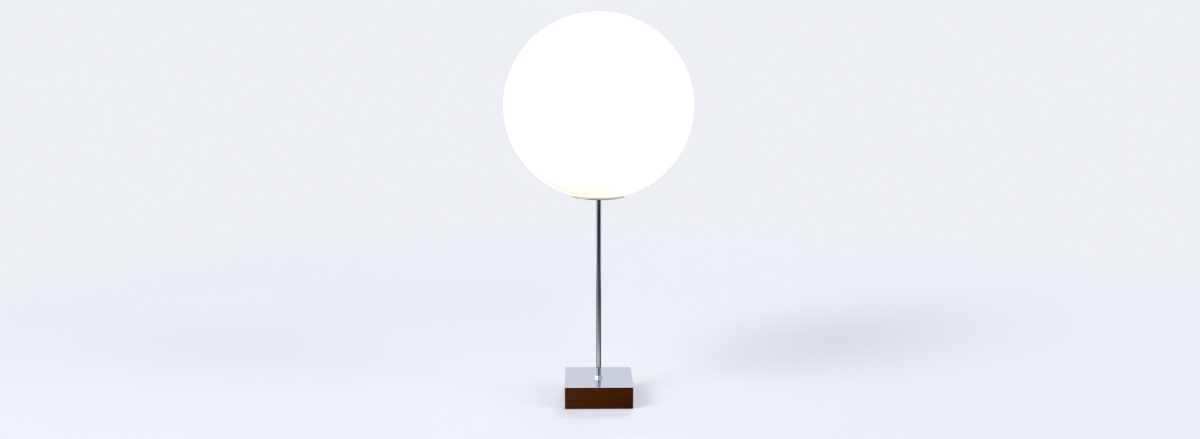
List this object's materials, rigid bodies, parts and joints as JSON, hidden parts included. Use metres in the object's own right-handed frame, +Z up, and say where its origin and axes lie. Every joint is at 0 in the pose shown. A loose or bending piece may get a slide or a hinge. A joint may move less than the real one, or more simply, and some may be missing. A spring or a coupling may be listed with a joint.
{
  "type": "glass globe table lamp",
  "caption": "Table lamp with an opal glass globe on a thin chromed pole over a weighted square chromed base, with a screw-in bulb inside.",
  "frame": {"origin": "on the table under the middle of the pole, at the foot's underside", "axes": "+Z up along the pole, -Y towards the front face of the square base, +Y towards the cord inlet"},
  "size_m": [0.3554, 0.3554, 0.7446],
  "materials": {
    "felt": "pressed black wool felt",
    "zinc_steel": "zinc-plated steel, slightly dulled",
    "polished_chrome": "mirror-polished chrome plate",
    "satin_chrome": "satin chrome plate over a brushed pressing",
    "cast_iron": "sand-cast, thin black paint",
    "black_nylon": "moulded black nylon",
    "connector_plastic": "moulded orange plastic",
    "black_pvc": "black PVC insulation",
    "white_pvc": "white PVC insulation",
    "yellow_brass": "drawn brass, lightly lacquered",
    "silicone": "milky silicone rubber",
    "spring_steel": "bright spring steel",
    "steel_screw": "nickel-plated steel",
    "fibre": "dark pressed fibre",
    "porcelain": "white glazed porcelain",
    "bare_aluminium": "thin pressed aluminium",
    "solder": "dull tin solder",
    "black_glass": "black moulded glass",
    "frosted_glass": "soft white frosted glass",
    "clear_glass": "clear glass",
    "nickel_wire": "nickel wire",
    "tungsten": "coiled tungsten wire",
    "opal_glass": "glossy white opal glass, lit from inside"
  },
  "bodies": {
    "stand": {"felt_pad": "felt", "bottom_plate": "zinc_steel", "bottom_screws": "zinc_steel", "corner_brackets": "zinc_steel", "ballast_washer": "zinc_steel", "pole_lower_nut": "zinc_steel", "seat_locknut": "zinc_steel", "base_box": "polished_chrome", "pole_foot_nut": "polished_chrome", "pole": "polished_chrome", "globe_seat": "satin_chrome", "ballast": "cast_iron", "cord_bushing": "black_nylon", "wire_connectors": "connector_plastic", "line_lead": "black_pvc", "neutral_lead": "white_pvc", "seat_hub": "yellow_brass", "line_terminal": "yellow_brass", "centre_contact": "yellow_brass", "socket_cup": "yellow_brass", "socket_shell": "yellow_brass", "globe_gasket": "silicone", "globe_fingers": "spring_steel", "finger_rivets": "spring_steel", "socket_set_screw": "steel_screw", "neutral_terminal": "steel_screw", "socket_liner": "fibre", "socket_block": "porcelain", "screw_shell": "bare_aluminium"},
    "bulb": {"bulb_contact": "solder", "bulb_insulator": "black_glass", "bulb_cap": "bare_aluminium", "bulb_glass": "frosted_glass", "bulb_stem": "clear_glass", "bulb_support_wires": "nickel_wire", "bulb_filament": "tungsten"},
    "globe": {"globe": "opal_glass"}
  },
  "joints": [
    {"name": "globe_lift", "type": "slide", "parent": "stand", "child": "globe", "axis": [0, 0, 1], "range_m": [0, 0.212]},
    {"name": "bulb_out", "type": "slide", "parent": "stand", "child": "bulb", "axis": [0, 0, 1], "range_m": [0, 0.03]}
  ]
}
